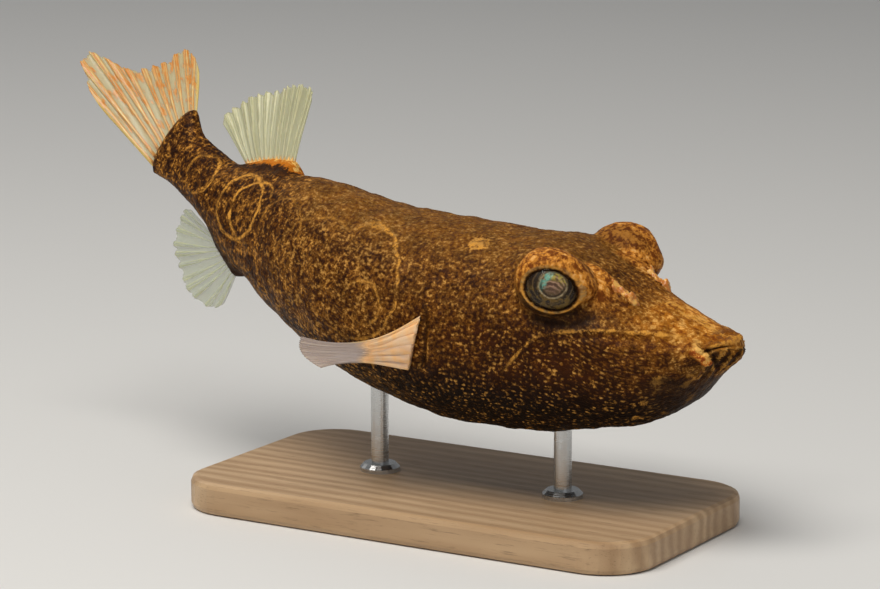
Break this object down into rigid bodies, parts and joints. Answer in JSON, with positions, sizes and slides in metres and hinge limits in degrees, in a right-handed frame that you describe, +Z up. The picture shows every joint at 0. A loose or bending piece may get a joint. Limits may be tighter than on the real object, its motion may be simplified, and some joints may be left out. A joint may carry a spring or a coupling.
{
  "type": "freshwater pufferfish",
  "caption": "Life-size still model of a pointed-snout freshwater pufferfish, its tail lifted and turned, held over a flat display base by slim rods.",
  "frame": {"origin": "centre of the flat underside of the stand base", "axes": "+X towards the snout, +Y towards the fish's left side, +Z up"},
  "size_m": [0.1033, 0.0362, 0.0521],
  "materials": {
    "skin": "dark brown skin speckled with gold, with a soft wet sheen",
    "eye": "clear glossy cornea over a dark olive iris",
    "nostril": "pale peach flap of skin",
    "pectoral_fin": "peach flesh at the root, thin grey membrane at the tip",
    "fin": "thin translucent cream membrane over fine rays with orange stripes",
    "stand_wood": "satin oiled pale wood",
    "stand_steel": "fine brushed"
  },
  "bodies": {
    "root": {"head": "skin", "upper_lip": "skin", "lower_lip": "skin", "trunk": "skin", "tail": "skin", "eye_right": "eye", "eye_left": "eye", "nostril_right": "nostril", "nostril_left": "nostril", "pectoral_fin_right": "pectoral_fin", "pectoral_fin_left": "pectoral_fin", "dorsal_fin": "fin", "anal_fin": "fin", "caudal_fin": "fin", "stand_base": "stand_wood", "stand_rod_front": "stand_steel", "stand_rod_rear": "stand_steel"}
  },
  "joints": []
}
